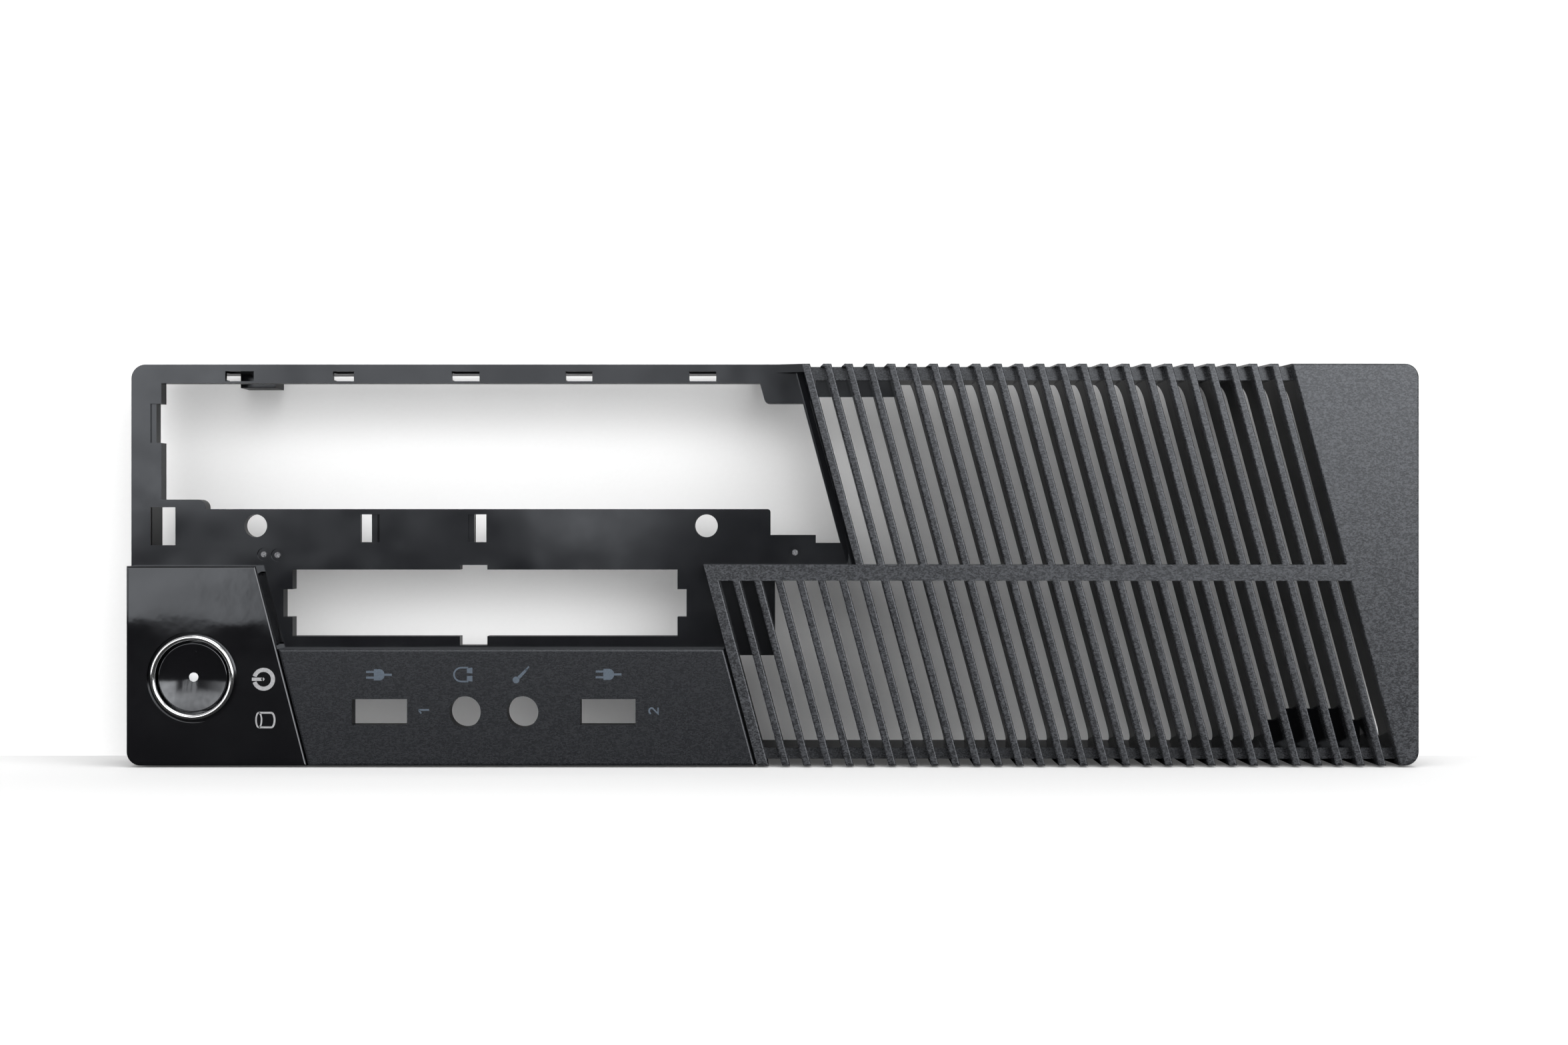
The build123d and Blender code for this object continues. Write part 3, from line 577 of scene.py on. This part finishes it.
def screw_blank():
    """A pan-head screw with a rolled thread, turned from its half outline."""
    thread = [(SCREW_CREST if i % 2 else SCREW_ROOT, THREAD_START - THREAD_STEP * i)
              for i in range(THREAD_POINTS)]
    outline = [*SCREW_HEAD, (SCREW_ROOT, SCREW_NECK), *thread, *SCREW_TIP]
    mesh = bmesh.new()
    points = [mesh.verts.new((r * MM, 0, h * MM)) for r, h in outline]
    edges = [mesh.edges.new(pair) for pair in zip(points, points[1:])]
    bmesh.ops.spin(mesh, geom=points + edges, cent=(0, 0, 0), axis=(0, 0, 1),
                   angle=2 * math.pi, steps=SCREW_SIDES, use_duplicate=False)
    bmesh.ops.remove_doubles(mesh, verts=mesh.verts, dist=0.00001)
    bmesh.ops.recalc_face_normals(mesh, faces=mesh.faces)
    return mesh_data("screw_blank", mesh)


def cross_cutter():
    """Two crossed bars that narrow towards the recess's floor."""
    mesh = bmesh.new()
    for turn in (0, 90):
        bar = bmesh.ops.create_cube(mesh, size=1.0)["verts"]
        for vert in bar:
            length, width, height = CROSS_FLOOR if vert.co.z < 0 else CROSS_MOUTH
            vert.co.x *= length * MM
            vert.co.y *= width * MM
            vert.co.z = height * MM
        bmesh.ops.rotate(mesh, verts=bar, cent=(0, 0, 0),
                         matrix=Matrix.Rotation(math.radians(turn), 3, "Z"))
    return mesh_data("cross_cutter", mesh)


def screw(z):
    """A screw with its cross recess, seated as the plain one."""
    shape = subtracted(screw_blank(), cross_cutter())
    turn = Matrix.Rotation(math.radians(-90), 4, "X")
    shape.transform(Matrix.Translation(place(BUTTON_U, SCREW_HEAD_FRONT, z)) @ turn)
    return shape


def guide_screws():
    """Both detailed screws as one piece in place of the plain ones."""
    mesh = bmesh.new()
    for z in SCREW_Z:
        shape = screw(z)
        mesh.from_mesh(shape)
        bpy.data.meshes.remove(shape)
    for face in mesh.faces:
        face.smooth = True
    data = mesh_data("cross_screws", mesh)
    data.set_sharp_from_angle(angle=SCREW_SHARP)
    data.materials.append(NODES["guide_screws"].data.materials[0])
    piece = in_scene("cross_screws", data)
    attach(piece, "bezel")
    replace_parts(piece, "guide_screws")


guide_screws()


def prism(mesh, near_loop, far_loop):
    """A closed solid between two outlines with as many corners."""
    a = [mesh.verts.new(point) for point in near_loop]
    b = [mesh.verts.new(point) for point in far_loop]
    mesh.faces.new(a)
    mesh.faces.new(b[::-1])
    for i in range(len(a)):
        j = (i + 1) % len(a)
        mesh.faces.new((a[j], a[i], b[i], b[j]))


def back_from(mesh, outline, y0, y1, rise=0.0):
    """A solid from a front outline of (u, z), from depth y0 back to depth y1."""
    prism(mesh, [place(u, y0, z) for u, z in outline],
          [place(u, y1, z + rise) for u, z in outline])


def along(mesh, profile, u0, u1):
    """A solid from a side profile of (y, z), from u0 to u1."""
    prism(mesh, [place(u0, y, z) for y, z in profile],
          [place(u1, y, z) for y, z in profile])


def rectangle(u0, u1, z0, z1):
    return [(u0, z0), (u1, z0), (u1, z1), (u0, z1)]


def moulding_piece(name, mesh):
    """A made mesh as one more piece of the moulding."""
    bmesh.ops.recalc_face_normals(mesh, faces=mesh.faces)
    data = mesh_data(name, mesh)
    data.materials.append(NODES["front_moulding"].data.materials[0])
    piece = in_scene(name, data)
    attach(piece, "bezel")
    return piece


def slat_left(i, z):
    """u of the left edge of slat i at height z."""
    return FIRST_SLAT_U + i * PITCH - SLAT_W - z * LEAN


def button_edge(z, off):
    """u of a place off the slanted right edge of the button panel at height z."""
    return BUTTON_PANEL_U - z * BUTTON_LEAN + off


def side_strip(low, high, near_off, far_off):
    """An outline between two lines along that edge."""
    return [(button_edge(low, near_off), low), (button_edge(low, far_off), low),
            (button_edge(high, far_off), high), (button_edge(high, near_off), high)]


def openings_cutter():
    """What the moulding has too much of: slots in full height, and a catch."""
    mesh = bmesh.new()
    for u, w in TOP_SLOTS:
        back_from(mesh, rectangle(u - w / 2, u + w / 2, *TOP_SLOT_Z),
                  -CUT_PAST, LIP_BACK)
    back_from(mesh, rectangle(*BAR_SLOT_U, *BAR_SLOT_Z), -CUT_PAST,
              PLATE_BACK + CUT_PAST)
    low, high = HEIGHT - OLD_CATCH_BELOW, HEIGHT + OLD_CATCH_ABOVE
    wall, rim = HEIGHT - WALL + WALL_SPARED, DEPTH + RIM_SPARED
    front, back = CATCH_FRONT - OLD_CATCH_AHEAD, CATCH_END + OLD_CATCH_BEHIND
    along(mesh, [(front, low), (back, low), (back, high), (rim, high), (rim, wall),
                 (front, wall)], *OLD_CATCH_U)
    bmesh.ops.recalc_face_normals(mesh, faces=mesh.faces)
    return mesh_data("openings_cutter", mesh)


def trimmed_moulding():
    """The moulding with its slots opened up, in place of the plain one."""
    mesh = bmesh.new()
    mesh.from_mesh(NODES["front_moulding"].data)
    bmesh.ops.remove_doubles(mesh, verts=mesh.verts, dist=WELD * MM)
    shape = subtracted(mesh_data("welded", mesh), openings_cutter())
    mesh = bmesh.new()
    mesh.from_mesh(shape)
    for face in mesh.faces:
        face.smooth = False
    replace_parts(moulding_piece("moulding_trimmed", mesh), "front_moulding")


def rib_flanks():
    """The slope at the left of each upper rib's tip."""
    mesh = bmesh.new()
    low, high = RAIL_FACE - JOINED, HEIGHT - INSIDE_BOX
    for i in range(LOWER_ONLY + 1, SLAT_COUNT):
        foot, tip = slat_left(i, RAIL_FACE), slat_left(i, HEIGHT)
        back_from(mesh, [(foot - RIB_FLANK, low), (foot + RIB_ROOT, low),
                         (tip + RIB_ROOT, high), (tip, high)],
                  0.0, DEPTH, DEPTH * DRAFT_FLARE)
    moulding_piece("rib_flanks", mesh)


def add_ramp(mesh):
    """The wedge from the plate up to the first whole slat, under the top edge."""
    low = HEIGHT - RAMP_H
    end = slat_left(LOWER_ONLY, low) + SLAT_W / 2
    plan = [(end - RAMP_LENGTH, PLATE_BACK), (end - RAMP_LENGTH, RECESS), (end, 0.0),
            (end, PLATE_BACK)]
    prism(mesh, [place(u, y, low) for u, y in plan],
          [place(u, y, HEIGHT - INSIDE_BOX + y * DRAFT_FLARE) for u, y in plan])


def add_bridge(mesh):
    """The small wall that stands behind the crossbar's slot, on its two legs."""
    (u0, u1), (z0, z1) = BRIDGE_U, BRIDGE_Z
    back_from(mesh, rectangle(u0, u1, z0, z1), BRIDGE_BACK - BRIDGE_T, BRIDGE_BACK)
    for edge in (u0, u1 - BRIDGE_T):
        back_from(mesh, rectangle(edge, edge + BRIDGE_T, z0, z1),
                  PLATE_BACK - PLATE_ROOT, BRIDGE_BACK - JOINED)


def add_corner_rib(mesh):
    """The rib beside the corner hole."""
    back_from(mesh, rectangle(*CORNER_RIB_U, *CORNER_RIB_Z),
              PLATE_BACK - PLATE_ROOT, CORNER_RIB_BACK)


def add_side_well(mesh):
    """The narrow well along the button panel: its floor, then its four walls."""
    near_off, far_off = WELL_OFF
    low, high = WELL_Z
    wall = WELL_WALL
    back_from(mesh, side_strip(low - wall, high + wall, near_off - wall,
                               far_off + wall), WELL_FLOOR, WELL_FLOOR + wall)
    for strip in (side_strip(low - wall, high + wall, near_off - wall, near_off),
                  side_strip(low - wall, high + wall, far_off, far_off + wall),
                  side_strip(low - wall, low, near_off, far_off),
                  side_strip(high, high + wall, near_off, far_off)):
        back_from(mesh, strip, PLATE_BACK - WELL_ROOT, WELL_FLOOR + JOINED)


def add_catch(mesh):
    """The catch under the top wall, where the first slot shows it."""
    inner = HEIGHT - CATCH_INSET
    outer, tip = inner + CATCH_T, (DEPTH + CATCH_END) / 2
    root, leg = HEIGHT - WALL / 2, CATCH_FRONT + CATCH_T
    along(mesh, [(CATCH_FRONT, inner), (CATCH_END, inner), (CATCH_END, outer),
                 (tip, outer + CATCH_BARB), (tip, outer), (leg, outer),
                 (leg, root), (CATCH_FRONT, root)],
          CATCH_U - CATCH_W / 2, CATCH_U + CATCH_W / 2)


def plate_details():
    """The ramp, bridge, rib, well and catch round the recessed plate."""
    mesh = bmesh.new()
    for add in (add_ramp, add_bridge, add_corner_rib, add_side_well, add_catch):
        add(mesh)
    moulding_piece("plate_details", mesh)


trimmed_moulding()
rib_flanks()
plate_details()

STAGE_REACH = 6.0
BACKDROP_Y = 0.0190
PAPER_LIFT = 0.06
FLOOR_IN_GLOSS = 0.045
BACKDROP_IN_GLOSS = 0.28


def paper(name, in_gloss, front_only):
    """White paper that shows the shadow; the camera sees it a little lifted.

    Reflections see it as the grey in_gloss. Paper that is front_only is there
    for what looks at its front, and lets the light through.
    """
    n = Nodes(name)
    path = n.add("ShaderNodeLightPath").outputs
    color = n.mix(n.noise(900.0, 3.0, 0.6), grey(0.90), grey(0.94))
    color = n.mix(path["Is Glossy Ray"], color, grey(in_gloss))
    n.finish(Base_Color=color, Roughness=0.9, Specular_IOR_Level=0.0)
    strength = n.math("MULTIPLY", path["Is Camera Ray"], PAPER_LIFT)
    lift = n.add("ShaderNodeEmission", {"Color": grey(1), "Strength": strength})
    surface = n.add("ShaderNodeAddShader",
                    {0: n.shader.outputs[0], 1: lift.outputs[0]}).outputs[0]
    if front_only:
        back = n.add("ShaderNodeNewGeometry").outputs["Backfacing"]
        seen = n.math("MAXIMUM", path["Is Camera Ray"], path["Is Glossy Ray"])
        seen = n.math("MAXIMUM", seen, path["Is Transmission Ray"])
        seen = n.math("MULTIPLY", seen, n.math("SUBTRACT", 1.0, back))
        unseen = n.add("ShaderNodeBsdfTransparent").outputs[0]
        surface = n.add("ShaderNodeMixShader",
                        {0: seen, 1: unseen, 2: surface}).outputs[0]
    n.set(n.output.inputs["Surface"], surface)
    return n.material


def stage_plane(name, corners, material):
    mesh = bpy.data.meshes.new(name)
    mesh.from_pydata(corners, [], [list(range(len(corners)))])
    mesh.materials.append(material)
    in_scene(name, mesh)


stage_plane("floor", [
    (-STAGE_REACH, -STAGE_REACH, 0), (STAGE_REACH, -STAGE_REACH, 0),
    (STAGE_REACH, STAGE_REACH, 0), (-STAGE_REACH, STAGE_REACH, 0)],
    paper("floor_paper", FLOOR_IN_GLOSS, False))
stage_plane("backdrop", [
    (-STAGE_REACH, BACKDROP_Y, 0), (STAGE_REACH, BACKDROP_Y, 0),
    (STAGE_REACH, BACKDROP_Y, STAGE_REACH), (-STAGE_REACH, BACKDROP_Y, STAGE_REACH)],
    paper("backdrop_paper", BACKDROP_IN_GLOSS, True))

# Each lamp's name, place, target, size and power, in metres and watts
LAMPS = (("top_light", (0.15, -0.40, 1.25), (0.0, -0.05, 0.0), (1.1, 0.6), 5.5),
         ("side_light", (0.9, -0.70, 0.80), (0.08, 0, 0.05), (0.5, 0.5), 2.0),
         ("rear_light", (0.1, 0.9, 1.2), (0, 0, 0.05), (1.2, 0.6), 3.5))


def softbox(name, at, target, size, power):
    data = bpy.data.lights.new(name, "AREA")
    data.shape = "RECTANGLE"
    data.size, data.size_y = size
    data.energy = power
    lamp = in_scene(name, data)
    lamp.location = at
    lamp.rotation_mode = "QUATERNION"
    lamp.rotation_quaternion = (Vector(target) - Vector(at)).to_track_quat("-Z", "Y")


for lamp_row in LAMPS:
    softbox(*lamp_row)


class WorldNodes(Nodes):
    """The same short way to write the world's node tree."""

    def __init__(self, name):
        self.world = bpy.data.worlds.new(name)
        self.world.use_nodes = True
        self.tree = self.world.node_tree
        self.shader = self.tree.nodes["Background"]


# The room's brightness from the horizon up, and what is left of it behind
PALE_LOW, PALE_HIGH = 0.26, 0.75
BEHIND = 0.70
ROOM_GLOW = 0.22
# The patches in front. A direction's slopes are its rise and its run over its way
# ahead, and each fade runs from a slope where a patch is dark to one where it's full
TOP_FADE = (0.75, 0.40)
LOW_FADE = (-0.010, 0.040)
HIGH_FADE, HIGH_PANEL = (0.12, 0.26), 3.4
RIGHT_FADE, RIGHT_END, RIGHT_PANEL = (0.045, 0.115), (1.5, 0.9), 5.0
LEFT_FADE, LEFT_END, LEFT_SHARE = (-0.35, -1.0), (-3.5, -2.0), 0.5
# Strips left of the camera: middle, half width and lower edge, brightness
STRIPS = ((-0.235, 0.045, -0.12, 3.6), (-0.137, 0.030, 0.02, 2.8),
          (-0.073, 0.018, -0.12, 2.8), (-0.034, 0.014, 0.02, 3.0))
STRIP_EDGE = 0.02


def front_panels(n, across, level):
    """The soft patches' brightness at the two slopes of a direction."""
    right = n.math("MULTIPLY", n.range(across, *RIGHT_FADE, smooth=True),
                   n.range(across, *RIGHT_END, smooth=True))
    left = n.math("MULTIPLY", n.range(across, *LEFT_FADE, smooth=True),
                  n.range(across, *LEFT_END, smooth=True))
    sides = n.math("ADD", right, n.math("MULTIPLY", left, LEFT_SHARE))
    panels = n.math("MULTIPLY", sides, n.range(level, *LOW_FADE, smooth=True))
    panels = n.math("MULTIPLY", panels, RIGHT_PANEL)
    for middle, half, low, bright in STRIPS:
        off = n.math("ABSOLUTE", n.math("SUBTRACT", across, middle))
        strip = n.math("MULTIPLY", n.range(off, 1.5 * half, 0.5 * half, smooth=True),
                       n.range(level, low - STRIP_EDGE, low + STRIP_EDGE, smooth=True))
        panels = n.math("ADD", panels, n.math("MULTIPLY", strip, bright))
    high = n.math("MULTIPLY", n.range(level, *HIGH_FADE, smooth=True), HIGH_PANEL)
    panels = n.math("MAXIMUM", panels, high)
    return n.math("MULTIPLY", panels, n.range(level, *TOP_FADE, smooth=True))


def studio():
    """A room that is pale above, darker behind, and dark with soft patches in front."""
    n = WorldNodes("studio")
    direction = n.add("ShaderNodeTexCoord").outputs["Generated"]
    x, y, z = n.add("ShaderNodeSeparateXYZ", {"Vector": direction}).outputs
    pale = n.range(z, -0.1, 0.9, PALE_LOW, PALE_HIGH)
    pale = n.math("MULTIPLY", pale, n.range(y, -0.1, 0.5, 1.0, BEHIND))
    forward = n.math("MAXIMUM", n.math("MULTIPLY", y, -1.0), 0.2)
    panels = front_panels(n, n.math("DIVIDE", x, forward),
                          n.math("DIVIDE", z, forward))
    clouds = n.range(n.noise(12.0, 3.0, 0.5, vector=direction), 0.35, 0.65, 0.75, 1.15)
    front = n.math("ADD", n.math("MULTIPLY", panels, clouds), ROOM_GLOW)
    ahead = n.range(y, -0.25, -0.50, smooth=True)
    light = n.mix_number(ahead, pale, front)
    camera_ray = n.add("ShaderNodeLightPath").outputs["Is Camera Ray"]
    n.set(n.shader.inputs["Color"], grey(1))
    n.set(n.shader.inputs["Strength"], n.mix_number(camera_ray, light, 1.0))
    bpy.context.scene.world = n.world


studio()

camera_data = bpy.data.cameras.new("camera")
camera_data.sensor_width = SENSOR
camera_data.lens = LENS
camera = in_scene("camera", camera_data)
camera.location = Vector((CAMERA_X, Y_SHIFT - CAMERA_BACK, CAMERA_Z)) * MM
camera.rotation_euler = (math.radians(90), 0, 0)
bpy.context.scene.camera = camera
bpy.context.scene.view_settings.view_transform = "Standard"
